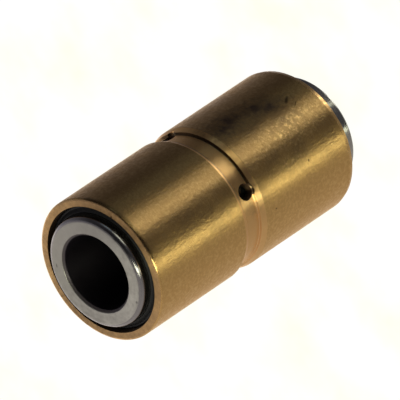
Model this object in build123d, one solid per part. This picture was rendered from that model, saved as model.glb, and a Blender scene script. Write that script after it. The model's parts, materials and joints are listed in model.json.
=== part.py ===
from build123d import *
from math import radians, tan
import os

# Greased spring shackle bushing.
# A bronze bush is pressed into the eye of a leaf spring. A steel sleeve, held between the
# shackle plates, turns inside it. Grease comes in from the eye through a groove round the
# bush and four radial holes, and a rubber lip seal in each end keeps it in.
#
# Millimetres. The bushing stands on the long end of its sleeve: +Z is the axis, and the
# origin is the centre of the sleeve's lower face.

# ---- Driving dimensions ----

# inner sleeve
pin_diameter = 30.0          # bore of the sleeve, for the shackle pin
sleeve_wall = 7.15
sleeve_bore_chamfer = 1.0    # both mouths of the bore
sleeve_top_rounding = 1.9    # outside edge of the upper end
sleeve_bottom_rounding = 1.0 # outside edge of the lower end
stand_out_top = 3.2          # the sleeve's end above the bush
stand_out_bottom = 8.4       # the sleeve's end below the bush

# outer bush
bush_length = 109.0
bush_wall = 6.3              # from the running bore to the outside
running_clearance = 0.05     # radial, between the sleeve and the bush's bore
bore_edge_break = 0.5        # edges of the running bore, inside the seal pockets
bush_top_rounding = 0.8      # outside edge of the upper end
lead_in_length = 1.6         # taper that starts the lower end into the spring eye
lead_in_angle = 15.0
mouth_edge_break = 0.3       # edges of the seal pockets' mouths

# grease groove, holes and channels
groove_rise = 0.55           # the groove's middle above the middle of the bush
groove_floor_width = 7.5
groove_depth = 1.9
groove_wall_height = 1.0     # the upright part of each side, from the floor
groove_taper_length = 2.2    # the shallow taper from each wall out to the land
groove_corner_rounding = 0.3
groove_edge_rounding = 0.15  # between the wall and the taper
groove_lip_rounding = 1.0    # between the taper and the land
grease_hole_count = 4
grease_hole_diameter = 6.5
grease_hole_drop = 0.5       # the holes' centres below the middle of the bush
channel_cutter_diameter = 5.0
channel_depth = 1.2
channel_land = 10.0          # plain bore between a channel's end and the seal pocket

# seals
seal_section = 2.85          # radial room between the sleeve and the pocket
seal_height = 7.0
seal_recess = 2.0            # the seal's face below the end of the bush
seal_heel_chamfer = 0.5
seal_shoulder_rounding = 0.8
lip_clearance = 0.03         # radial, between a lip and the sleeve
lip_land = 0.6               # height of the band where a lip runs on the sleeve
lip_rise = 0.8               # the outer lip above the seal's face
lip_relief = 0.6             # how far the seal's waist stays off the sleeve
lip_slope = 1.2              # height over which a lip leans out to the sleeve
valley_depth = 0.35          # dip between the outer lip and the shoulder

# ---- Sizes that follow ----

pin_radius = pin_diameter / 2
sleeve_radius = pin_radius + sleeve_wall
bore_radius = sleeve_radius + running_clearance
bush_radius = bore_radius + bush_wall
pocket_radius = sleeve_radius + seal_section
pocket_depth = seal_height + seal_recess

bush_bottom = stand_out_bottom
bush_top = bush_bottom + bush_length
bush_middle = (bush_bottom + bush_top) / 2
sleeve_length = bush_top + stand_out_top

groove_middle = bush_middle + groove_rise
groove_floor_radius = bush_radius - groove_depth
groove_wall_radius = groove_floor_radius + groove_wall_height


# ---- Helpers ----

def rounded(section, corner, radius):
    """Round the corner of a flat section that lies nearest to the given point."""
    vertex = section.vertices().sort_by_distance(Vector(*corner))[0]
    return fillet(vertex, radius)


def turned(section):
    """Turn a section, drawn as radius and height, about the bushing's axis."""
    return revolve(Plane.XZ * section, Axis.Z)


# ---- Inner sleeve ----

def make_inner_sleeve():
    bore_mouth = pin_radius + sleeve_bore_chamfer
    corners = [
        (bore_mouth, 0),
        (sleeve_radius, 0),
        (sleeve_radius, sleeve_length),
        (bore_mouth, sleeve_length),
        (pin_radius, sleeve_length - sleeve_bore_chamfer),
        (pin_radius, sleeve_bore_chamfer),
    ]
    section = make_face(Polyline(*corners, close=True))
    section = rounded(section, (sleeve_radius, 0), sleeve_bottom_rounding)
    section = rounded(section, (sleeve_radius, sleeve_length), sleeve_top_rounding)
    return turned(section)


# ---- Outer bush ----

def make_bush_blank():
    """The bush as it leaves the lathe: bore, seal pockets, groove and turned edges."""
    lead_in_radius = bush_radius - lead_in_length * tan(radians(lead_in_angle))
    floor_bottom = groove_middle - groove_floor_width / 2
    floor_top = groove_middle + groove_floor_width / 2
    groove_bottom = floor_bottom - groove_taper_length
    groove_top = floor_top + groove_taper_length
    lower_pocket_floor = bush_bottom + pocket_depth
    upper_pocket_floor = bush_top - pocket_depth
    corners = [
        (pocket_radius + mouth_edge_break, bush_bottom),
        (lead_in_radius, bush_bottom),
        (bush_radius, bush_bottom + lead_in_length),
        (bush_radius, groove_bottom),
        (groove_wall_radius, floor_bottom),
        (groove_floor_radius, floor_bottom),
        (groove_floor_radius, floor_top),
        (groove_wall_radius, floor_top),
        (bush_radius, groove_top),
        (bush_radius, bush_top),
        (pocket_radius + mouth_edge_break, bush_top),
        (pocket_radius, bush_top - mouth_edge_break),
        (pocket_radius, upper_pocket_floor),
        (bore_radius + bore_edge_break, upper_pocket_floor),
        (bore_radius, upper_pocket_floor - bore_edge_break),
        (bore_radius, lower_pocket_floor + bore_edge_break),
        (bore_radius + bore_edge_break, lower_pocket_floor),
        (pocket_radius, lower_pocket_floor),
        (pocket_radius, bush_bottom + mouth_edge_break),
    ]
    section = make_face(Polyline(*corners, close=True))
    section = rounded(section, (bush_radius, bush_top), bush_top_rounding)
    for height in (groove_bottom, groove_top):
        section = rounded(section, (bush_radius, height), groove_lip_rounding)
    for height in (floor_bottom, floor_top):
        section = rounded(section, (groove_wall_radius, height), groove_edge_rounding)
        section = rounded(section, (groove_floor_radius, height), groove_corner_rounding)
    return turned(section)


def make_grease_hole():
    """A drill along +X, from the middle of the sleeve out past the bush."""
    drill = Cylinder(grease_hole_diameter / 2, bush_radius, align=(Align.CENTER, Align.CENTER, Align.MIN))
    return Pos(pin_radius, 0, bush_middle - grease_hole_drop) * Rot(0, 90, 0) * drill


def make_channel():
    """The path of a ball-ended cutter along the bore, through the foot of a grease hole."""
    cutter_radius = channel_cutter_diameter / 2
    reach = bush_length / 2 - pocket_depth - channel_land - cutter_radius
    straight = Cylinder(cutter_radius, 2 * reach)
    ends = [Pos(0, 0, side * reach) * Sphere(cutter_radius) for side in (-1, 1)]
    return Pos(bore_radius + channel_depth - cutter_radius, 0, bush_middle) * (straight + ends)


def make_outer_bush():
    bush = make_bush_blank()
    cut = make_grease_hole() + make_channel()
    for turn in range(grease_hole_count):
        bush -= Rot(0, 0, turn * 360 / grease_hole_count) * cut
    return bush


# ---- Seals ----

def make_seal():
    """A two-lip seal with its heel at height 0 and its face, with the outer lip, on top."""
    lip_radius = sleeve_radius + lip_clearance
    waist_radius = sleeve_radius + lip_relief
    lip_top = seal_height + lip_rise
    heel_lip_top = seal_heel_chamfer + lip_land
    corners = [
        (pocket_radius - seal_heel_chamfer, 0),
        (pocket_radius, seal_heel_chamfer),
        (pocket_radius, seal_height),
        (waist_radius + (pocket_radius - waist_radius) / 2, seal_height - valley_depth),
        (lip_radius + lip_land / 2, lip_top),
        (lip_radius, lip_top - lip_land / 2),
        (lip_radius, lip_top - lip_land),
        (waist_radius, lip_top - lip_land - lip_slope),
        (waist_radius, heel_lip_top + lip_slope),
        (lip_radius, heel_lip_top),
        (lip_radius, seal_heel_chamfer),
        (lip_radius + seal_heel_chamfer, 0),
    ]
    section = make_face(Polyline(*corners, close=True))
    section = rounded(section, (pocket_radius, seal_height), seal_shoulder_rounding)
    return turned(section)


def make_upper_seal():
    return Pos(0, 0, bush_top - pocket_depth) * make_seal()


def make_lower_seal():
    return Pos(0, 0, bush_bottom + pocket_depth) * Rot(180, 0, 0) * make_seal()


# ---- Write one file per piece ----

os.makedirs("parts", exist_ok=True)
pieces = {
    "outer_bush": make_outer_bush(),
    "inner_sleeve": make_inner_sleeve(),
    "upper_seal": make_upper_seal(),
    "lower_seal": make_lower_seal(),
}
for name, piece in pieces.items():
    piece.label = name
    export_step(piece, f"parts/{name}.step")
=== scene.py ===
# %% [markdown]
# # A greased spring shackle bushing
# A bronze bush is pressed into the eye of a truck's leaf spring. A steel sleeve, clamped between
# the shackle's plates, turns inside it, and a black rubber lip seal in each end keeps the grease
# in. All four pieces are round about one axis, so one Geometry Nodes tree, a lathe, makes them
# from four drawn sections. The rest is finish and light, because turned metal looks like what
# it reflects.

# %% The frame
import json
from math import atan2, cos, pi, radians, sin, tan

import bpy
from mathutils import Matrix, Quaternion, Vector


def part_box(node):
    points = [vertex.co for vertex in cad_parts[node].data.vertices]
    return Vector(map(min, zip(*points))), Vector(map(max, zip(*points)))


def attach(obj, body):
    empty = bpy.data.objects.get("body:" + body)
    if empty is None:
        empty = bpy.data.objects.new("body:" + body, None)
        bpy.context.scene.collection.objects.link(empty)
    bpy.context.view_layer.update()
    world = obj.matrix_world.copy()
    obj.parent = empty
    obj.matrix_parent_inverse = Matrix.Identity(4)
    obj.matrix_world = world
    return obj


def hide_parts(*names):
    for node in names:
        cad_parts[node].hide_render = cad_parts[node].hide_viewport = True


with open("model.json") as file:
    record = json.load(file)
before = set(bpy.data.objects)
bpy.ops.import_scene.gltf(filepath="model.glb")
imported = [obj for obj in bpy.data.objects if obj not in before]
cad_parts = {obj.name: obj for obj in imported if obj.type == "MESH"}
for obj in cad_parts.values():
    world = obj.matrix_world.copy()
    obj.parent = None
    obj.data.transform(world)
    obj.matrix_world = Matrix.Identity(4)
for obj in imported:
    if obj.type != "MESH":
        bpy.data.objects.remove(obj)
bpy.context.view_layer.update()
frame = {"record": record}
MM = 0.001

# %% [markdown]
# ## Sizes
# The boxes of the CAD nodes give the heights and the largest radius of each piece, and the record
# gives the pin's bore. What no box shows, such as the depth of the groove, is written here once,
# in millimetres, as a turner reads it off a drawing.

# %% Sizes from the frame
BUSH_LOW, BUSH_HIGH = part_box("outer_bush")
SLEEVE_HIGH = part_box("inner_sleeve")[1]
SEAL_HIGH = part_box("upper_seal")[1]
PIN_MOUNT = next(m for m in frame["record"]["mounts"] if m["name"] == "pin_bore")

BUSH_BOTTOM, BUSH_TOP, BUSH_RADIUS = BUSH_LOW.z, BUSH_HIGH.z, BUSH_HIGH.x
BUSH_MIDDLE = (BUSH_BOTTOM + BUSH_TOP) / 2
SLEEVE_TOP, SLEEVE_RADIUS = SLEEVE_HIGH.z, SLEEVE_HIGH.x
POCKET_RADIUS = SEAL_HIGH.x
PIN_RADIUS = PIN_MOUNT["dims"]["r_mm"] * MM
print(f"bush {2 * BUSH_RADIUS / MM:.1f} x {(BUSH_TOP - BUSH_BOTTOM) / MM:.1f} mm, "
      f"sleeve {2 * SLEEVE_RADIUS / MM:.1f} x {SLEEVE_TOP / MM:.1f} mm, "
      f"pin {2 * PIN_RADIUS / MM:.1f} mm")

# %% Sizes from the drawing
RUNNING_CLEARANCE = 0.05 * MM
BORE_RADIUS = SLEEVE_RADIUS + RUNNING_CLEARANCE
SEAL_HEIGHT = 7.0 * MM
SEAL_RECESS = 2.0 * MM
POCKET_DEPTH = SEAL_HEIGHT + SEAL_RECESS
GROOVE_RISE = 0.55 * MM
GROOVE_MIDDLE = BUSH_MIDDLE + GROOVE_RISE
GROOVE_FLOOR = 7.5 * MM
GROOVE_DEPTH = 1.9 * MM
GROOVE_WALL = 1.0 * MM
GROOVE_TAPER = 2.2 * MM
GREASE_HOLES = 4
GREASE_HOLE_RADIUS = 3.25 * MM
GREASE_HOLE_DROP = 0.5 * MM
GREASE_HOLE_HEIGHT = BUSH_MIDDLE - GREASE_HOLE_DROP
CHANNEL_RADIUS = 2.5 * MM
CHANNEL_DEPTH = 1.2 * MM
CHANNEL_LAND = 10.0 * MM

# %% [markdown]
# ## The camera
# A long lens from four and a half metres, a little above the bushing's top end and rolled, so
# that the axis runs across the view from the near end at lower left. It comes before the pieces,
# because every later choice is judged through it.

# %% The camera
CAMERA_AZIMUTH = radians(12.65)
CAMERA_ELEVATION = radians(39.355)
CAMERA_ROLL = radians(-123.93)
CAMERA_DISTANCE = 4.586
CAMERA_LENS = 1134.75
CAMERA_AIM = Vector((0.92, 0.21, 60.82)) * MM

camera = bpy.data.objects.new("camera", bpy.data.cameras.new("camera"))
bpy.context.collection.objects.link(camera)
bpy.context.scene.camera = camera
back = Vector((sin(CAMERA_AZIMUTH) * cos(CAMERA_ELEVATION),
               -cos(CAMERA_AZIMUTH) * cos(CAMERA_ELEVATION),
               sin(CAMERA_ELEVATION)))
camera.location = CAMERA_AIM + back * CAMERA_DISTANCE
camera.rotation_mode = "QUATERNION"
camera.rotation_quaternion = Quaternion(back, CAMERA_ROLL) @ (-back).to_track_quat("-Z", "Y")
camera.data.lens = CAMERA_LENS
camera.data.sensor_width = 36.0
camera.data.clip_start, camera.data.clip_end = 0.1, 50.0
print("camera at", [round(c, 3) for c in camera.location])

# %% [markdown]
# ## Sections
# A turned piece is its half section swept round the axis. Each section below is a closed list of
# corners, (radius, height, rounding), that goes up the outside and down the inside, so that the
# faces point outwards. A tool never leaves a perfectly sharp corner, and a small round is what
# catches light on a metal edge. Drawing the rounds in the section is cleaner than a Bevel
# modifier, which stumbles where a boolean cuts an edge. A guard point just beyond each round
# keeps the smooth shading of the round off the flat beside it.

# %% Rounding and dividing a section
ARC_STEPS = 6
RING_SPACING = 6.0 * MM
GUARD = 0.2 * MM


def rounded_corner(before, corner, after, rounding):
    """The points of the arc that replaces a corner."""
    towards_before = (before - corner).normalized()
    towards_after = (after - corner).normalized()
    half_angle = towards_before.angle(towards_after) / 2
    centre = corner + (towards_before + towards_after).normalized() * rounding / sin(half_angle)
    first = corner + towards_before * rounding / tan(half_angle) - centre
    last = corner + towards_after * rounding / tan(half_angle) - centre
    sweep = atan2(first.x * last.y - first.y * last.x, first.dot(last))
    turns = [sweep * step / ARC_STEPS for step in range(ARC_STEPS + 1)]
    return [centre + Vector((first.x * cos(turn) - first.y * sin(turn),
                             first.x * sin(turn) + first.y * cos(turn))) for turn in turns]


def between(start, end):
    """Points along a straight run: a guard near each end, and evenly spaced rings."""
    run = end - start
    if run.length < 3 * GUARD:
        return []
    inner = run.length - 2 * GUARD
    steps = max(1, round(inner / RING_SPACING))
    return [start + run.normalized() * (GUARD + inner * k / steps) for k in range(steps + 1)]


def section_points(corners):
    """All points of a closed section whose corners are (radius, height, rounding)."""
    sharp = [Vector((radius, height)) for radius, height, rounding in corners]
    arcs = []
    for k, (radius, height, rounding) in enumerate(corners):
        before, after = sharp[k - 1], sharp[(k + 1) % len(sharp)]
        arcs.append(rounded_corner(before, sharp[k], after, rounding) if rounding else [sharp[k]])
    points = []
    for k, arc in enumerate(arcs):
        points += arc + between(arc[-1], arcs[(k + 1) % len(arcs)][0])
    return points


# %% [markdown]
# ## The lathe
# The tree takes a section and a number of turn steps. It makes a flat grid with one row for each
# point of the section and one column for each step, looks up each vertex's section point by its
# row, turns it about the axis by its column, and welds the seams. Spin could do the turning, but
# a tree keeps the section and the steps as inputs that can be changed. Edges steeper than a set
# angle are shaded sharp, so wide rounds stay smooth.

# %% Helpers for node trees
def add(tree, kind, inputs=None, **settings):
    """Adds a node, sets its properties, and links or fills its inputs."""
    made = tree.nodes.new(kind)
    for name, value in settings.items():
        setattr(made, name, value)
    for key, value in (inputs or {}).items():
        if isinstance(value, bpy.types.NodeSocket):
            tree.links.new(value, made.inputs[key])
        else:
            made.inputs[key].default_value = value
    return made


def maths(tree, operation, *values):
    """A Math node's result."""
    return add(tree, "ShaderNodeMath", dict(enumerate(values)), operation=operation).outputs[0]


def whole(tree, operation, *values):
    """An Integer Math node's result."""
    made = add(tree, "FunctionNodeIntegerMath", dict(enumerate(values)), operation=operation)
    return made.outputs[0]


def new_tree(name, inputs):
    """A Geometry Nodes tree with named inputs. Returns it with the sockets of its input node."""
    tree = bpy.data.node_groups.new(name, "GeometryNodeTree")
    for label, kind, value in inputs:
        socket = tree.interface.new_socket(label, in_out="INPUT", socket_type="NodeSocket" + kind)
        if value is not None:
            socket.default_value = value
    tree.interface.new_socket("Piece", in_out="OUTPUT", socket_type="NodeSocketGeometry")
    return tree, tree.nodes.new("NodeGroupInput").outputs


SHARP_ANGLE = radians(32)


def finish_tree(tree, shape, material):
    """Smooth shading with sharp edges, then Realize Instances and Set Material."""
    angle = add(tree, "GeometryNodeInputMeshEdgeAngle").outputs["Unsigned Angle"]
    gentle = maths(tree, "LESS_THAN", angle, SHARP_ANGLE)
    smooth = add(tree, "GeometryNodeSetShadeSmooth", {"Geometry": shape}, domain="FACE")
    sharp = add(tree, "GeometryNodeSetShadeSmooth",
                {"Geometry": smooth.outputs[0], "Shade Smooth": gentle}, domain="EDGE")
    real = add(tree, "GeometryNodeRealizeInstances", {0: sharp.outputs[0]})
    painted = add(tree, "GeometryNodeSetMaterial", {
        "Geometry": real.outputs[0], "Material": material})
    tree.links.new(painted.outputs[0], tree.nodes.new("NodeGroupOutput").inputs["Piece"])


# %% The lathe tree
TURN_STEPS = 240
WELD = 0.002 * MM

lathe, given = new_tree("lathe", [
    ("Section", "Geometry", None), ("Turn Steps", "Int", TURN_STEPS), ("Finish", "Material", None)])
size = add(lathe, "GeometryNodeAttributeDomainSize", {"Geometry": given["Section"]})
count = size.outputs["Point Count"]
rows = whole(lathe, "ADD", count, 1)
grid = add(lathe, "GeometryNodeMeshGrid", {
    "Vertices X": whole(lathe, "ADD", given["Turn Steps"], 1), "Vertices Y": rows})
index = add(lathe, "GeometryNodeInputIndex").outputs[0]
column = whole(lathe, "DIVIDE", index, rows)
row = whole(lathe, "MODULO", whole(lathe, "MODULO", index, rows), count)
drawn = add(lathe, "GeometryNodeSampleIndex", {
    "Geometry": given["Section"], "Value": add(lathe, "GeometryNodeInputPosition").outputs[0],
    "Index": row}, data_type="FLOAT_VECTOR", domain="POINT")
step = maths(lathe, "DIVIDE", 2 * pi, given["Turn Steps"])
turned = add(lathe, "ShaderNodeVectorRotate", {
    "Vector": drawn.outputs[0], "Angle": maths(lathe, "MULTIPLY", column, step)},
    rotation_type="Z_AXIS")
rolled = add(lathe, "GeometryNodeSetPosition", {
    "Geometry": grid.outputs["Mesh"], "Position": turned.outputs[0]})
welded = add(lathe, "GeometryNodeMergeByDistance", {
    "Geometry": rolled.outputs[0], "Distance": WELD})
finish_tree(lathe, welded.outputs[0], given["Finish"])

# %% [markdown]
# ## From tree to piece
# A modifier's inputs are set by their identifiers before the object is first evaluated. Then the
# evaluated result becomes a plain mesh, and the modifier is gone before the piece joins the frame.


# %% Running a tree
def run_tree(name, mesh, tree, values):
    """Evaluates a tree on a mesh once and returns a plain object with the result."""
    source = bpy.data.objects.new(name + "_source", mesh)
    bpy.context.collection.objects.link(source)
    modifier = source.modifiers.new(tree.name, "NODES")
    modifier.node_group = tree
    for item in tree.interface.items_tree:
        if item.in_out == "INPUT" and item.name in values:
            modifier[item.identifier] = values[item.name]
    evaluated = source.evaluated_get(bpy.context.evaluated_depsgraph_get())
    made = bpy.data.objects.new(name, bpy.data.meshes.new_from_object(evaluated))
    bpy.data.objects.remove(source)
    bpy.data.meshes.remove(mesh)
    made.data.name = name
    bpy.context.collection.objects.link(made)
    return made


def turn_piece(name, corners, finish, steps=TURN_STEPS):
    """Turns a section into a piece."""
    points = section_points(corners)
    mesh = bpy.data.meshes.new(name + "_section")
    edges = [(k, (k + 1) % len(points)) for k in range(len(points))]
    mesh.from_pydata([(p.x, 0, p.y) for p in points], edges, [])
    piece = run_tree(name, mesh, lathe, {"Turn Steps": steps, "Finish": finish})
    print(f"{name}: {len(points)} section points, {len(piece.data.polygons)} faces")
    return piece


# %% [markdown]
# ## Turned metal
# A lathe leaves fine lines that run round the piece. They spread a reflection along the axis and
# keep it narrow across, which draws the straight bright bands down the bush. An anisotropic
# shader does that spreading, with its tangent round the axis. The lines themselves are noise
# that is stretched round the axis. The coordinates below serve every metal here: one distance
# across the tool lines, slow change along them, and the direction round the axis.

# %% Coordinates that follow the tool
def shader_group(name, outputs):
    """A shader node group with named outputs. Returns it with the sockets of its output node."""
    group = bpy.data.node_groups.new(name, "ShaderNodeTree")
    for label, kind in outputs:
        group.interface.new_socket(label, in_out="OUTPUT", socket_type="NodeSocket" + kind)
    return group, group.nodes.new("NodeGroupOutput").inputs


GRAIN_STRETCH = 0.03
GRAIN_BY_RADIUS = 0.7

follow, result = shader_group("follow the tool", [
    ("Grain", "Vector"), ("Round", "Vector"), ("Around", "Float"), ("Height", "Float"),
    ("Radius", "Float")])
here = add(follow, "ShaderNodeTexCoord").outputs["Object"]
split = add(follow, "ShaderNodeSeparateXYZ", {0: here}).outputs
radius = maths(follow, "SQRT", maths(follow, "ADD", maths(follow, "POWER", split["X"], 2.0),
                                     maths(follow, "POWER", split["Y"], 2.0)))
across = maths(follow, "ADD", split["Z"], maths(follow, "MULTIPLY", radius, GRAIN_BY_RADIUS))
grain = add(follow, "ShaderNodeCombineXYZ", {
    "X": maths(follow, "MULTIPLY", split["X"], GRAIN_STRETCH),
    "Y": maths(follow, "MULTIPLY", split["Y"], GRAIN_STRETCH), "Z": across})
tangent = add(follow, "ShaderNodeCombineXYZ", {
    "X": maths(follow, "MULTIPLY", split["Y"], -1.0), "Y": split["X"], "Z": 0.0})
in_world = add(follow, "ShaderNodeVectorTransform", {0: tangent.outputs[0]},
               vector_type="VECTOR", convert_from="OBJECT", convert_to="WORLD")
turn = maths(follow, "ARCTAN2", split["Y"], split["X"])
for label, socket in (("Grain", grain.outputs[0]), ("Round", in_world.outputs[0]),
                      ("Around", turn), ("Height", split["Z"]), ("Radius", radius)):
    follow.links.new(socket, result[label])


# %% Helpers for materials
def new_material(name):
    """A material with an empty tree and a Principled shader linked to its output."""
    material = bpy.data.materials.new(name)
    material.use_nodes = True
    tree = material.node_tree
    tree.nodes.clear()
    shader = tree.nodes.new("ShaderNodeBsdfPrincipled")
    tree.links.new(shader.outputs[0], tree.nodes.new("ShaderNodeOutputMaterial").inputs["Surface"])
    return material, tree, shader


def noise(tree, vector, scale, detail=3.0, roughness=0.5, distortion=0.0):
    """Smooth noise between 0 and 1, with scale waves in a metre."""
    made = add(tree, "ShaderNodeTexNoise", {
        "Vector": vector, "Scale": scale, "Detail": detail, "Roughness": roughness,
        "Distortion": distortion})
    return made.outputs["Fac"]


def span(tree, value, low, high, out_low, out_high):
    """Maps low..high to out_low..out_high, clamped."""
    made = add(tree, "ShaderNodeMapRange", {
        "Value": value, "From Min": low, "From Max": high, "To Min": out_low, "To Max": out_high})
    return made.outputs["Result"]


def mix(tree, factor, first, second, blend="MIX"):
    """A colour between two colours."""
    made = add(tree, "ShaderNodeMix", {0: factor, 6: first, 7: second},
               data_type="RGBA", blend_type=blend)
    return made.outputs[2]


def between_heights(tree, height, middle, half, soft):
    """1 within half of a middle height, 0 outside."""
    away = maths(tree, "ABSOLUTE", maths(tree, "SUBTRACT", height, middle))
    return span(tree, away, half - soft, half, 1.0, 0.0)


def spot(tree, place, ragged, turn, radius, height, reach, tilt=0.0, soft=0.5):
    """1 inside a ragged patch round one point, 0 outside. The reach is (deep, wide, long)."""
    turn = radians(turn)
    local = add(tree, "ShaderNodeMapping", {
        "Vector": place, "Location": (radius * cos(turn), radius * sin(turn), height),
        "Rotation": (radians(tilt), 0, turn), "Scale": reach}, vector_type="TEXTURE")
    away = add(tree, "ShaderNodeVectorMath", {0: local.outputs[0]}, operation="LENGTH")
    return span(tree, maths(tree, "ADD", away.outputs["Value"], ragged), soft, 1.3, 1.0, 0.0)


# %% [markdown]
# ## Bronze
# The bush is cast bronze, turned all over. Its skin is satin and, seen close, slightly dimpled,
# which breaks a band of reflected light into flecks: noise with waves of about a millimetre moves
# the bump, the roughness and the colour a little. The groove is cut last and is cleaner and
# pinker. One side has tarnished and carries old grease, and beside it handling has scratched the
# skin bright. Painted shade darkens the groove's lower corner and upper lip on one side, a line
# just below the top edge, and a patch of the groove floor by one hole. An angle round the axis
# and a few soft patches place all that, so it stays put when the bush turns. Inside, where grease
# sits, the bronze is almost black, and down the holes the dark deepens as painted shade.

# %% Bronze, its colour
GROOVE_RADIUS = BUSH_RADIUS - GROOVE_DEPTH
BRONZE = (0.80, 0.49, 0.175, 1.0)
BRONZE_DEEP = (0.70, 0.415, 0.145, 1.0)
BRONZE_FLECK = (1.0, 0.68, 0.27, 1.0)
GROOVE_BRONZE = (0.86, 0.52, 0.21, 1.0)
END_BRONZE = (0.66, 0.41, 0.18, 1.0)
WALL_BRONZE = (0.88, 0.61, 0.32, 1.0)
TARNISH = (0.70, 0.70, 0.75, 1.0)
TARNISHED_SIDE = radians(-45)
SHADED_GROOVE_SIDE = radians(-37)
SHADED_EDGE_SIDE = radians(-53)
SMUDGE_AND_SHADE = (0.17, 0.105, 0.065, 1.0)
GREASE_AND_SHADE = (0.035, 0.022, 0.012, 1.0)
DRILLED = (0.16, 0.09, 0.05, 1.0)
# Waves in a metre.
TOOL_LINES, CLOUDS, RAGGED_EDGES, FLECKS = 2600.0, 130.0, 420.0, 800.0
SCRATCHES, DIMPLES = 620.0, 900.0
DIMPLE_DEPTH = 0.095 * MM

bronze, tree, shader = new_material("satin_turned_bronze")
tool = add(tree, "ShaderNodeGroup", node_tree=follow).outputs
place = add(tree, "ShaderNodeTexCoord").outputs["Object"]
lines = noise(tree, tool["Grain"], TOOL_LINES, detail=2.0)
cloud = noise(tree, place, CLOUDS, detail=3.0)
ragged = noise(tree, place, RAGGED_EDGES, detail=4.0, roughness=0.6)
ragged = maths(tree, "SUBTRACT", ragged, 0.5)
flecks = noise(tree, place, FLECKS, detail=2.0, roughness=0.7)
colour = mix(tree, span(tree, lines, 0.3, 0.7, 0.0, 0.5), BRONZE, BRONZE_DEEP)
colour = mix(tree, span(tree, flecks, 0.40, 0.54, 0.06, 0.0), colour, SMUDGE_AND_SHADE)
colour = mix(tree, span(tree, flecks, 0.50, 0.64, 0.0, 0.3), colour, BRONZE_FLECK)
off_side = maths(tree, "ABSOLUTE", maths(tree, "SUBTRACT", tool["Around"], TARNISHED_SIDE))
wander = maths(tree, "MULTIPLY", maths(tree, "SUBTRACT", cloud, 0.5), 0.8)
off_side = maths(tree, "ADD", off_side, wander)
tarnished = span(tree, off_side, radians(32), radians(58), 1.0, 0.0)
on_end = span(tree, tool["Height"], BUSH_TOP - 0.3 * MM, BUSH_TOP - 0.1 * MM, 1.0, 0.0)
tarnished = maths(tree, "MULTIPLY", tarnished, on_end)
colour = mix(tree, tarnished, colour, mix(tree, 1.0, colour, TARNISH, blend="MULTIPLY"))
in_groove = between_heights(
    tree, tool["Height"], GROOVE_MIDDLE, GROOVE_FLOOR / 2 + GROOVE_TAPER, 0.1 * MM)
colour = mix(tree, in_groove, colour, GROOVE_BRONZE)
end_colour = mix(tree, span(tree, ragged, -0.12, 0.12, 0.0, 0.3), END_BRONZE, SMUDGE_AND_SHADE)
colour = mix(tree, on_end, end_colour, colour)

# %% Where the marks are
# Smudges, and one patch of painted shade: degrees round the axis, height, width, length in mm, tilt
# in degrees, and how dark.
SMUDGES_AND_SHADE = (
    (-39, 48.5, 7.5, 11.0, 0, 0.7), (-36, 45.6, 4.2, 7.0, 0, 1.0),
    (-40, 51.5, 3.8, 6.5, 0, 1.0), (-42, 33.0, 6.0, 13.0, -15, 0.8),
    (-40, 34.0, 4.2, 6.5, -25, 1.0), (-46, 29.5, 3.8, 7.0, -30, 1.0),
    (-54, 29.0, 7.0, 10.0, 0, 0.55), (-51, 40.0, 5.0, 16.0, 0, 0.45),
    # The patch at -98 degrees, on the groove floor by a hole, is painted shade.
    (-98, 61.8, 5.5, 4.8, 0, 0.5), (-27, BUSH_TOP / MM, 9.0, 1.5, 0, 0.35))
# Scratched patches: degrees, height, width, length.
SCRATCHED = ((-68, 29.0, 6.0, 19.0), (-88, 38.0, 3.0, 8.0))
# Pits: degrees, distance from the axis in metres, then height, width, length and tilt.
PITS = (
    (-48.5, BUSH_RADIUS, 21.1, 0.65, 2.2, 35), (-55.5, BUSH_RADIUS, 20.0, 0.2, 1.6, 30),
    (-96.0, BUSH_RADIUS, 30.2, 0.4, 0.45, 0), (-114.2, BUSH_RADIUS, 52.0, 0.25, 0.4, 0),
    (-45.3, 0.9 * BUSH_RADIUS, BUSH_TOP / MM, 0.5, 0.5, 0))
PATCH_DEEP, PIT_DEEP = 5 * MM, 0.6 * MM
print(len(SMUDGES_AND_SHADE), "smudges,", len(SCRATCHED), "scratched patches,", len(PITS), "pits")

# %% Bronze, smudges and a patch of painted shade, scratches and pits
very_ragged = maths(tree, "MULTIPLY", ragged, 2.0)
smudges_and_shade = 0.0
for turn, height, wide, long, tilt, depth in SMUDGES_AND_SHADE:
    here = spot(tree, place, very_ragged, turn, BUSH_RADIUS, height * MM,
                (PATCH_DEEP, wide * MM, long * MM), tilt, soft=0.1)
    smudges_and_shade = maths(tree, "MAXIMUM", maths(tree, "MULTIPLY", here, depth), smudges_and_shade)
colour = mix(tree, smudges_and_shade, colour, SMUDGE_AND_SHADE)
scratches = noise(tree, place, SCRATCHES, detail=5.0, roughness=0.7)
scratches = span(tree, scratches, 0.50, 0.62, 0.0, 0.85)
for turn, height, wide, long in SCRATCHED:
    worn = spot(tree, place, very_ragged, turn, BUSH_RADIUS, height * MM,
                (PATCH_DEEP, wide * MM, long * MM), soft=0.3)
    colour = mix(tree, maths(tree, "MULTIPLY", worn, scratches), colour, BRONZE_FLECK)
pits = 0.0
for turn, radius, height, wide, long, tilt in PITS:
    here = spot(tree, place, ragged, turn, radius, height * MM,
                (PIT_DEEP, wide * MM, long * MM), tilt)
    pits = maths(tree, "MAXIMUM", here, pits)
colour = mix(tree, maths(tree, "MULTIPLY", pits, 0.75), colour, GREASE_AND_SHADE)

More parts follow.
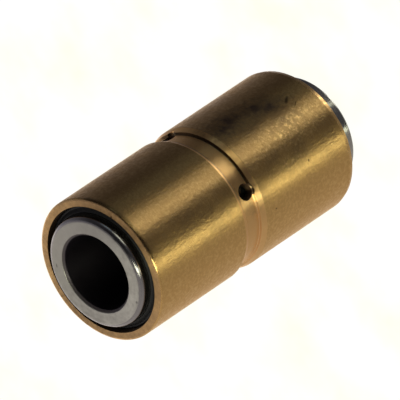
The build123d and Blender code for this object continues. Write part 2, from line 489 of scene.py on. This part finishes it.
# %% Bronze, painted shade in the groove and under the top edge, and the dark inside
corner = between_heights(
    tree, tool["Height"], GROOVE_MIDDLE - GROOVE_FLOOR / 2 - 0.2 * MM, 1.0 * MM, 0.5 * MM)
corner = maths(tree, "MULTIPLY", corner, span(
    tree, tool["Radius"], GROOVE_RADIUS + 0.9 * MM, GROOVE_RADIUS + 1.1 * MM, 1.0, 0.0))
near_lip = between_heights(
    tree, tool["Height"], GROOVE_MIDDLE + GROOVE_FLOOR / 2 + 0.4 * MM, 0.9 * MM, 0.3 * MM)
colour = mix(tree, corner, colour, WALL_BRONZE)
# Painted shade: on one side the groove's lower corner and its upper lip are darkened.
off_corner = maths(tree, "ABSOLUTE", maths(tree, "SUBTRACT", tool["Around"], SHADED_GROOVE_SIDE))
corner = maths(tree, "MULTIPLY", corner, span(
    tree, off_corner, radians(48), radians(58), 1.0, 0.0))
near_lip = maths(tree, "MULTIPLY", near_lip, span(
    tree, off_corner, radians(48), radians(70), 0.55, 0.0))
colour = mix(tree, near_lip, colour, SMUDGE_AND_SHADE)
colour = mix(tree, maths(tree, "MULTIPLY", corner, 0.88), colour, GREASE_AND_SHADE)
# Painted shade: a dark line just below the top edge, on one side.
off_line = maths(tree, "ABSOLUTE", maths(tree, "SUBTRACT", tool["Around"], SHADED_EDGE_SIDE))
dark_line = span(tree, off_line, radians(33), radians(39), 1.0, 0.0)
dark_line = maths(tree, "MULTIPLY", dark_line, span(
    tree, tool["Height"], BUSH_TOP - 2.2 * MM, BUSH_TOP - 0.9 * MM, 0.0, 1.0))
dark_line = maths(tree, "MULTIPLY", dark_line, span(
    tree, tool["Radius"], BUSH_RADIUS - 0.55 * MM, BUSH_RADIUS - 0.25 * MM, 0.0, 1.0))
colour = mix(tree, maths(tree, "MULTIPLY", dark_line, 0.5), colour, GREASE_AND_SHADE)
inside = span(tree, tool["Radius"], GROOVE_RADIUS - 0.25 * MM, GROOVE_RADIUS - 0.1 * MM, 1.0, 0.0)
inside = maths(tree, "MULTIPLY", inside, between_heights(
    tree, tool["Height"], BUSH_MIDDLE, (BUSH_TOP - BUSH_BOTTOM) / 2 - 0.3 * MM, 0.05 * MM))
inside = maths(tree, "MAXIMUM", inside, span(
    tree, tool["Radius"], POCKET_RADIUS + 0.3 * MM, POCKET_RADIUS + 0.36 * MM, 1.0, 0.0))
# Painted shade: the holes' walls go from dark brown at the groove to near black towards the bore.
hole_wall = span(tree, tool["Radius"], GROOVE_RADIUS - 3.0 * MM, GROOVE_RADIUS - 0.3 * MM, 0.0, 1.0)
hole_wall = maths(tree, "MULTIPLY", hole_wall, in_groove)
colour = mix(tree, inside, colour, mix(tree, hole_wall, GREASE_AND_SHADE, DRILLED))
tree.links.new(colour, shader.inputs["Base Color"])

# %% Bronze, its shine
shader.inputs["Metallic"].default_value = 1.0
shader.inputs["Anisotropic"].default_value = 0.93
shader.inputs["Anisotropic Rotation"].default_value = 0.25
edges = maths(tree, "MULTIPLY",
              span(tree, tool["Height"], BUSH_TOP - 1.1 * MM, BUSH_TOP - 0.8 * MM, 0.0, 1.0),
              span(tree, tool["Radius"], BUSH_RADIUS - 0.9 * MM, BUSH_RADIUS - 0.7 * MM, 0.0, 1.0))
edges = maths(tree, "MAXIMUM", edges, span(
    tree, tool["Height"], BUSH_BOTTOM + 1.6 * MM, BUSH_BOTTOM + 1.9 * MM, 1.0, 0.0))
rough = maths(tree, "ADD", span(tree, cloud, 0.3, 0.7, 0.30, 0.34), span(
    tree, flecks, 0.35, 0.65, 0.13, 0.0))
for where, change in ((in_groove, -0.03), (inside, 0.25), (edges, -0.10)):
    rough = maths(tree, "ADD", rough, maths(tree, "MULTIPLY", where, change))
tree.links.new(rough, shader.inputs["Roughness"])
tree.links.new(tool["Round"], shader.inputs["Tangent"])
dimples = noise(tree, place, DIMPLES, detail=2.0, roughness=0.6)
plain = maths(tree, "MULTIPLY", maths(tree, "MAXIMUM", in_groove, edges), 0.7)
dimples = maths(tree, "MULTIPLY", dimples, maths(tree, "SUBTRACT", 1.0, plain))
height = maths(tree, "ADD", maths(tree, "MULTIPLY", lines, 0.08), dimples)
bump = add(tree, "ShaderNodeBump", {"Height": height, "Strength": 1.0, "Distance": DIMPLE_DEPTH})
tree.links.new(bump.outputs[0], shader.inputs["Normal"])
print(bronze.name, "has", len(tree.nodes), "nodes")

# %% [markdown]
# ## Steel
# The sleeve is ground outside, faced at its ends and left blued in the bore by its heat treatment.
# Facing leaves rings and handling has left small dull patches and specks. One side of the
# faced end is darkened as painted shade, and the rounded outer edge is polished dark. The
# bore is blued, so its colour is a dull purple black and not a mirror.

# %% Steel
STEEL = (0.58, 0.56, 0.505, 1.0)
STEEL_DULL_AND_SHADE = (0.44, 0.42, 0.38, 1.0)
STEEL_ROUNDING = (0.30, 0.28, 0.28, 1.0)
SHADED_FACE_SIDE = radians(22)
BLUED = (0.05, 0.042, 0.05, 1.0)
BLUED_EDGE = (0.105, 0.085, 0.092, 1.0)
STEEL_LINES, STEEL_CLOUDS = 1800.0, 420.0
STEEL_BUMP = 0.05 * MM
# Specks: degrees, share of the bush's radius, width and length in mm.
SPECKS = ((-135.4, 0.70, 0.5, 0.6), (-60, 0.735, 0.4, 1.1), (70, 0.66, 0.3, 0.8))
SPECK_DEEP = 0.5 * MM

steel, tree, shader = new_material("ground_steel")
tool = add(tree, "ShaderNodeGroup", node_tree=follow).outputs
place = add(tree, "ShaderNodeTexCoord").outputs["Object"]
lines = noise(tree, tool["Grain"], STEEL_LINES, detail=3.0, roughness=0.6)
cloud = noise(tree, place, STEEL_CLOUDS, detail=4.0, roughness=0.65)
grey = maths(tree, "ADD", maths(tree, "MULTIPLY", lines, 0.6), cloud)
colour = mix(tree, span(tree, grey, 0.6, 1.05, 0.0, 1.0), STEEL, STEEL_DULL_AND_SHADE)
# Painted shade: the steel is darker towards one side of the axis.
off_shaded = maths(tree, "ABSOLUTE", maths(tree, "SUBTRACT", tool["Around"], SHADED_FACE_SIDE))
colour = mix(tree, span(tree, off_shaded, radians(55), radians(95), 0.85, 0.0), colour, STEEL_DULL_AND_SHADE)
face_edge = SLEEVE_RADIUS - 1.7 * MM
rounding = span(tree, tool["Radius"], face_edge, face_edge + 0.3 * MM, 0.0, 1.0)
rounding = maths(tree, "MULTIPLY", rounding, span(
    tree, tool["Height"], SLEEVE_TOP - 2.0 * MM, SLEEVE_TOP - 1.6 * MM, 0.0, 1.0))
colour = mix(tree, rounding, colour, STEEL_ROUNDING)
bore = span(tree, tool["Radius"], PIN_RADIUS + 0.75 * MM, PIN_RADIUS + 0.95 * MM, 1.0, 0.0)
bore_edge = span(tree, tool["Radius"], PIN_RADIUS + 0.1 * MM, PIN_RADIUS + 0.2 * MM, 0.0, 1.0)
colour = mix(tree, bore, colour, mix(tree, bore_edge, BLUED, BLUED_EDGE))
ragged = maths(tree, "SUBTRACT", cloud, 0.5)
specks = 0.0
for turn, share, wide, long in SPECKS:
    here = spot(tree, place, ragged, turn, share * BUSH_RADIUS, SLEEVE_TOP,
                (wide * MM, long * MM, SPECK_DEEP))
    specks = maths(tree, "MAXIMUM", here, specks)
colour = mix(tree, maths(tree, "MULTIPLY", specks, 0.6), colour, BLUED)
tree.links.new(colour, shader.inputs["Base Color"])
oxide = maths(tree, "MULTIPLY", bore, bore_edge)
tree.links.new(span(tree, oxide, 0.0, 1.0, 1.0, 0.4), shader.inputs["Metallic"])
shader.inputs["Anisotropic"].default_value = 0.5
shader.inputs["Anisotropic Rotation"].default_value = 0.25
face = span(tree, tool["Height"], SLEEVE_TOP - 0.3 * MM, SLEEVE_TOP - 0.02 * MM, 0.0, 1.0)
rough = span(tree, cloud, 0.3, 0.7, 0.16, 0.24)
for where, change in ((face, 0.32), (bore, 0.3)):
    rough = maths(tree, "ADD", rough, maths(tree, "MULTIPLY", where, change))
tree.links.new(rough, shader.inputs["Roughness"])
tree.links.new(tool["Round"], shader.inputs["Tangent"])
bump = add(tree, "ShaderNodeBump", {
    "Height": cloud, "Strength": 1.0, "Distance": STEEL_BUMP})
tree.links.new(bump.outputs[0], shader.inputs["Normal"])
print(steel.name, "has", len(tree.nodes), "nodes")

# %% [markdown]
# ## Rubber
# The lip seals are moulded in nitrile rubber, wet with grease. Black rubber is never quite black.
# It shows as dark grey with a soft sheen, so the base colour is a little above zero and the
# roughness changes slowly round the ring.

# %% Rubber
RUBBER = (0.010, 0.010, 0.011, 1.0)
RUBBER_WORN = (0.018, 0.017, 0.019, 1.0)
MOTTLE = 900.0

rubber, tree, shader = new_material("moulded_rubber")
tool = add(tree, "ShaderNodeGroup", node_tree=follow).outputs
mottle = noise(tree, tool["Grain"], MOTTLE, detail=3.0)
tree.links.new(mix(tree, mottle, RUBBER, RUBBER_WORN), shader.inputs["Base Color"])
tree.links.new(span(tree, mottle, 0.3, 0.7, 0.45, 0.6), shader.inputs["Roughness"])
print(rubber.name, "has", len(tree.nodes), "nodes")

# %% [markdown]
# ## The bush
# The lead-in taper at the bottom starts the bush into the spring's eye. The groove round the
# middle carries grease to four holes. Each end has a pocket for its seal.

# %% The bush's section
lead_in, lead_in_angle = 1.6 * MM, radians(15)
lead_in_radius = BUSH_RADIUS - lead_in * tan(lead_in_angle)
mouth = 0.3 * MM
bore_break = 0.5 * MM
top_rounding, lead_in_rounding, mouth_rounding = 0.85 * MM, 0.3 * MM, 0.1 * MM
lip_rounding, wall_rounding, floor_rounding = 1.0 * MM, 0.15 * MM, 0.2 * MM
floor_low, floor_high = GROOVE_MIDDLE - GROOVE_FLOOR / 2, GROOVE_MIDDLE + GROOVE_FLOOR / 2
pocket_low, pocket_high = BUSH_BOTTOM + POCKET_DEPTH, BUSH_TOP - POCKET_DEPTH

bush_section = [
    (POCKET_RADIUS + mouth, BUSH_BOTTOM, 0),
    (lead_in_radius, BUSH_BOTTOM, mouth_rounding),
    (BUSH_RADIUS, BUSH_BOTTOM + lead_in, lead_in_rounding),
    (BUSH_RADIUS, floor_low - GROOVE_TAPER, lip_rounding),
    (GROOVE_RADIUS + GROOVE_WALL, floor_low, wall_rounding),
    (GROOVE_RADIUS, floor_low, floor_rounding),
    (GROOVE_RADIUS, floor_high, floor_rounding),
    (GROOVE_RADIUS + GROOVE_WALL, floor_high, wall_rounding),
    (BUSH_RADIUS, floor_high + GROOVE_TAPER, lip_rounding),
    (BUSH_RADIUS, BUSH_TOP, top_rounding),
    (POCKET_RADIUS + mouth, BUSH_TOP, mouth_rounding),
    (POCKET_RADIUS, BUSH_TOP - mouth, mouth_rounding),
    (POCKET_RADIUS, pocket_high, 0),
    (BORE_RADIUS + bore_break, pocket_high, 0),
    (BORE_RADIUS, pocket_high - bore_break, 0),
    (BORE_RADIUS, pocket_low + bore_break, 0),
    (BORE_RADIUS + bore_break, pocket_low, 0),
    (POCKET_RADIUS, pocket_low, 0),
    (POCKET_RADIUS, BUSH_BOTTOM + mouth, 0),
]
bush_blank = turn_piece("bush_blank", bush_section, bronze)

# %% [markdown]
# ## Drilling
# The drill and the ball-ended cutter are turned on the same lathe, as tools. The drilling tree
# lays both over the top of one hole, copies them round the axis and takes them out of the bush
# in one boolean. Four holes could be cut by hand, but the count, the radius and the height stay
# inputs this way.

# %% The tools
TOOL_STEPS = 48
EDGE_BREAK = 0.12 * MM
DRILL_END = BUSH_RADIUS * 1.2
reach = (BUSH_TOP - BUSH_BOTTOM) / 2 - POCKET_DEPTH - CHANNEL_LAND - CHANNEL_RADIUS

drill_section = [
    (0, PIN_RADIUS, 0),
    (GREASE_HOLE_RADIUS, PIN_RADIUS, 0),
    (GREASE_HOLE_RADIUS, GROOVE_RADIUS - EDGE_BREAK, 0),
    (GREASE_HOLE_RADIUS + 2 * EDGE_BREAK, GROOVE_RADIUS + EDGE_BREAK, 0),
    (GREASE_HOLE_RADIUS + 2 * EDGE_BREAK, DRILL_END, 0),
    (0, DRILL_END, 0),
]
drill = turn_piece("drill", drill_section, bronze, TOOL_STEPS)
cutter_section = [(0, -reach - CHANNEL_RADIUS, 0)]
cutter_section += [(CHANNEL_RADIUS * cos(radians(a)), -reach + CHANNEL_RADIUS * sin(radians(a)), 0)
                   for a in range(-80, 1, 10)]
cutter_section += [(CHANNEL_RADIUS * cos(radians(a)), reach + CHANNEL_RADIUS * sin(radians(a)), 0)
                   for a in range(0, 81, 10)]
cutter_section += [(0, reach + CHANNEL_RADIUS, 0)]
cutter = turn_piece("cutter", cutter_section, bronze, TOOL_STEPS)

# %% The drilling tree
drilling, given = new_tree("drilling", [
    ("Blank", "Geometry", None), ("Drill", "Object", None), ("Cutter", "Object", None),
    ("Holes", "Int", GREASE_HOLES), ("Hole Height", "Float", BUSH_MIDDLE),
    ("Channel Height", "Float", BUSH_MIDDLE), ("Cutter Radius", "Float", BORE_RADIUS),
    ("Finish", "Material", None)])
up = add(drilling, "ShaderNodeCombineXYZ", {"Z": given["Hole Height"]}).outputs[0]
beside = add(drilling, "ShaderNodeCombineXYZ", {
    "X": given["Cutter Radius"], "Z": given["Channel Height"]}).outputs[0]
drill_in = add(drilling, "GeometryNodeObjectInfo", {"Object": given["Drill"]})
drill_laid = add(drilling, "GeometryNodeTransform", {
    "Geometry": drill_in.outputs["Geometry"], "Rotation": (0, pi / 2, 0), "Translation": up})
cutter_in = add(drilling, "GeometryNodeObjectInfo", {"Object": given["Cutter"]})
cutter_laid = add(drilling, "GeometryNodeTransform", {
    "Geometry": cutter_in.outputs["Geometry"], "Translation": beside})
points = add(drilling, "GeometryNodePoints", {"Count": given["Holes"]})
which = add(drilling, "GeometryNodeInputIndex").outputs[0]
turn = maths(drilling, "MULTIPLY", which, maths(drilling, "DIVIDE", 2 * pi, given["Holes"]))
spin = add(drilling, "ShaderNodeCombineXYZ", {"Z": turn}).outputs[0]
cuts = add(drilling, "GeometryNodeMeshBoolean", {"Mesh 1": given["Blank"]},
           operation="DIFFERENCE", solver="EXACT")
for laid in (drill_laid, cutter_laid):
    copies = add(drilling, "GeometryNodeInstanceOnPoints", {
        "Points": points.outputs[0], "Instance": laid.outputs[0], "Rotation": spin})
    real = add(drilling, "GeometryNodeRealizeInstances", {0: copies.outputs[0]})
    drilling.links.new(real.outputs[0], cuts.inputs["Mesh 2"])
finish_tree(drilling, cuts.outputs["Mesh"], given["Finish"])

# %% The drilled bush
blank_mesh = bush_blank.data
bpy.data.objects.remove(bush_blank)
bush = run_tree("bronze_bush", blank_mesh, drilling, {
    "Drill": drill, "Cutter": cutter, "Hole Height": GREASE_HOLE_HEIGHT, "Finish": bronze,
    "Cutter Radius": BORE_RADIUS + CHANNEL_DEPTH - CHANNEL_RADIUS})
for used in (drill, cutter):
    bpy.data.objects.remove(used)
print("bronze_bush:", len(bush.data.polygons), "faces after drilling")

# %% [markdown]
# ## The sleeve
# A thick steel tube, longer than the bush at both ends, so that the shackle's plates clamp the
# sleeve and leave the bush free to turn. The outer edge at the top has a wide round and the bore
# a one millimetre chamfer, both of which show as rings round the bright face.

# %% The sleeve
chamfer, chamfer_rounding = 1.0 * MM, 0.15 * MM
bottom_rounding, wide_rounding = 1.0 * MM, 1.9 * MM
sleeve_section = [
    (PIN_RADIUS + chamfer, 0, chamfer_rounding),
    (SLEEVE_RADIUS, 0, bottom_rounding),
    (SLEEVE_RADIUS, SLEEVE_TOP, wide_rounding),
    (PIN_RADIUS + chamfer, SLEEVE_TOP, chamfer_rounding),
    (PIN_RADIUS, SLEEVE_TOP - chamfer, chamfer_rounding),
    (PIN_RADIUS, chamfer, chamfer_rounding),
]
sleeve = turn_piece("steel_sleeve", sleeve_section, steel)

# %% [markdown]
# ## The seals
# One seal is a moulded ring: a heel against the pocket's wall, a hollow front, and two lips that
# lean on the sleeve. The same seal is pressed into both ends, so one list of corners serves both,
# read backwards for the lower one, which keeps its faces outward when it is turned over.

# %% The seals
lip = SLEEVE_RADIUS + 0.03 * MM
waist = SLEEVE_RADIUS + 0.6 * MM
lip_top = SEAL_HEIGHT + 0.8 * MM
lip_land, lip_slope = 0.6 * MM, 1.2 * MM
heel, dip = 0.5 * MM, 0.35 * MM
shoulder_rounding, dip_rounding, tip_rounding = 0.8 * MM, 0.5 * MM, 0.15 * MM
seal_corners = [
    (POCKET_RADIUS - heel, 0, 0),
    (POCKET_RADIUS, heel, 0),
    (POCKET_RADIUS, SEAL_HEIGHT, shoulder_rounding),
    ((waist + POCKET_RADIUS) / 2, SEAL_HEIGHT - dip, dip_rounding),
    (lip + lip_land / 2, lip_top, tip_rounding),
    (lip, lip_top - lip_land / 2, 0),
    (lip, lip_top - lip_land, 0),
    (waist, lip_top - lip_land - lip_slope, 0),
    (waist, heel + lip_land + lip_slope, 0),
    (lip, heel + lip_land, 0),
    (lip, heel, 0),
    (lip + heel, 0, 0),
]
upper = [(r, pocket_high + h, rounding) for r, h, rounding in seal_corners]
lower = [(r, pocket_low - h, rounding) for r, h, rounding in reversed(seal_corners)]
upper_seal = turn_piece("upper_lip_seal", upper, rubber)
lower_seal = turn_piece("lower_lip_seal", lower, rubber)

# %% [markdown]
# ## Into the frame
# Each piece rides a body and stands in for one CAD node. The seals
# ride the bush, since they are pressed into it and the sleeve turns in their lips.

# %% Into the frame
for piece, body, replaced, slot in (
        (bush, "bush", "outer_bush", "bush_bronze"),
        (sleeve, "sleeve", "inner_sleeve", "sleeve_steel"),
        (upper_seal, "bush", "upper_seal", "seal_rubber"),
        (lower_seal, "bush", "lower_seal", "seal_rubber")):
    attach(piece, body)
    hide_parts(replaced)
    print(piece.name, "rides", body, "and replaces", replaced)

# %% [markdown]
# ## The floor
# A sheet of white paper with faint cream patches. It glows evenly instead of being lit, so no
# shadow or falloff spoils the white, and reflections leave it out, because the metal is meant to
# show the room alone.

# %% The floor
FLOOR_SIZE = 6.0
PAPER = (0.1, 0.1, 0.1, 1.0)
PAPER_WHITE = (1.0, 1.0, 1.0, 1.0)
PAPER_CREAM = (0.98, 0.98, 0.84, 1.0)
CREAM_PATCHES = 30.0
floor_mesh = bpy.data.meshes.new("floor")
half = FLOOR_SIZE / 2
corners = [(-half, -half, 0), (half, -half, 0), (half, half, 0), (-half, half, 0)]
floor_mesh.from_pydata(corners, [], [(0, 1, 2, 3)])
floor = bpy.data.objects.new("floor", floor_mesh)
bpy.context.collection.objects.link(floor)
paper, tree, shader = new_material("white_paper")
place = add(tree, "ShaderNodeTexCoord").outputs["Object"]
tone = span(tree, noise(tree, place, CREAM_PATCHES, detail=3.0), 0.4, 0.7, 0.0, 1.0)
tree.links.new(mix(tree, tone, PAPER_WHITE, PAPER_CREAM), shader.inputs["Emission Color"])
shader.inputs["Emission Strength"].default_value = 1.0
shader.inputs["Base Color"].default_value = PAPER
shader.inputs["Roughness"].default_value = 0.8
floor_mesh.materials.append(paper)
floor.visible_glossy = False
floor.visible_shadow = False
print("floor", FLOOR_SIZE, "m wide")

# %% [markdown]
# ## The room
# Turned metal shows the room round it, so the light is a room and not a lamp: soft walls that
# change with direction, and upright strips like tall softboxes. A lamp would leave one hard spot
# on each round. The low belt is what the bush's side sees and the high belt is what the end faces
# see. The bright bands along the bush are such strips. Directions are degrees round the axis,
# counted from the side that faces the camera, and heights are on a ball of radius one.

# %% The room
FRONT = radians(-77.35)
LOW_BELT = (
    (-180, 1.5), (-160, 1.3), (-150, 0.55), (-140, 0.28), (-120, 0.15), (-90, 0.045),
    (-60, 0.075), (-36, 0.085), (-10, 0.085), (14, 0.066), (24, 0.05), (34, 0.06), (46, 0.24),
    (60, 0.305), (90, 0.39), (120, 0.45), (140, 0.62), (150, 0.70), (160, 1.1), (170, 1.3),
    (180, 1.5))
HIGH_BELT = (
    (-180, 0.50), (-140, 0.30), (-110, 0.05), (-60, 0.03), (10, 0.03), (40, 0.25), (90, 0.45),
    (140, 0.55), (180, 0.50))
# Strips: degrees, half width in degrees, foot, head, light.
STRIPS = (
    (-17.8, 4.6, -0.80, -0.47, (1.12, 1.14, 0.91, 1.0)),
    (-35, 28, -0.94, -0.87, (8.6, 8.6, 7.9, 1.0)),
    (-26, 18, -0.20, 0.15, (1.7, 1.8, 1.4, 1.0)),
    (-56, 14, -0.25, 0.12, (0.25, 0.34, 0.36, 1.0)),
    (39.6, 3.0, -0.85, -0.25, (2.65, 2.82, 2.2, 1.0)),
    (36.5, 5.5, -0.25, 0.40, (2.2, 2.4, 1.8, 1.0)),
    (39.5, 9, 0.38, 0.85, (8.0, 8.4, 6.2, 1.0)),
    (95, 50, -0.10, 0.50, (0.12, 0.11, 0.10, 1.0)))
STRIP_CORE, STRIP_SOFT = 0.35, 0.03
CEILING = (0.03, 0.03, 0.03, 1.0)
GROUND = (0.45, 0.44, 0.42, 1.0)
# Heights on the ball between which one part of the room gives way to the next.
BELTS_MEET, CEILING_STARTS, GROUND_ENDS = (0.3, 0.55), (0.93, 0.98), (-0.95, -0.85)
COOL_SIDE = (-155, 45)
WARM = (1.0, 0.95, 0.90)
COOL = (1.0, 0.98, 1.10)
world = bpy.data.worlds.new("studio")
bpy.context.scene.world = world
world.use_nodes = True
tree = world.node_tree
background = tree.nodes["Background"]
way = add(tree, "ShaderNodeTexCoord").outputs["Generated"]
faced = add(tree, "ShaderNodeVectorRotate", {"Vector": way, "Angle": -FRONT},
            rotation_type="Z_AXIS")
parts = add(tree, "ShaderNodeSeparateXYZ", {0: faced.outputs[0]}).outputs
turn = maths(tree, "MULTIPLY", maths(tree, "ARCTAN2", parts["Y"], parts["X"]), -180 / pi)
share = maths(tree, "ADD", maths(tree, "DIVIDE", turn, 360.0), 0.5)


def belt(stops):
    """The walls' light at one height, from the stops (degrees, light)."""
    ramp = add(tree, "ShaderNodeValToRGB", {"Fac": share})
    elements = ramp.color_ramp.elements
    while len(elements) < len(stops):
        elements.new(0.5)
    for element, (degrees, light) in zip(elements, stops):
        element.position = degrees / 360 + 0.5
        tint = COOL if COOL_SIDE[0] < degrees < COOL_SIDE[1] else WARM
        element.color = [light * part for part in tint] + [1.0]
    return ramp.outputs["Color"]


def strip(walls, degrees, half_width, foot, head, tint):
    """Adds an upright strip light to the walls. Foot and head are heights on a unit ball."""
    away = maths(tree, "ABSOLUTE", maths(tree, "SUBTRACT", turn, degrees))
    lit = span(tree, away, half_width * STRIP_CORE, half_width, 1.0, 0.0)
    lit = maths(tree, "MULTIPLY", lit, span(
        tree, parts["Z"], foot - STRIP_SOFT, foot + STRIP_SOFT, 0.0, 1.0))
    lit = maths(tree, "MULTIPLY", lit, span(
        tree, parts["Z"], head - STRIP_SOFT, head + STRIP_SOFT, 1.0, 0.0))
    return mix(tree, lit, walls, tint, blend="ADD")


walls = mix(tree, span(tree, parts["Z"], *BELTS_MEET, 0.0, 1.0), belt(LOW_BELT), belt(HIGH_BELT))
walls = mix(tree, span(tree, parts["Z"], *CEILING_STARTS, 0.0, 1.0), walls, CEILING)
walls = mix(tree, span(tree, parts["Z"], *GROUND_ENDS, 1.0, 0.0), walls, GROUND)
for one_strip in STRIPS:
    walls = strip(walls, *one_strip)
tree.links.new(walls, background.inputs["Color"])
background.inputs["Strength"].default_value = 1.0
bpy.context.scene.view_settings.view_transform = "Standard"
print("studio light:", len(tree.nodes), "nodes,", len(LOW_BELT), "and", len(HIGH_BELT), "stops")
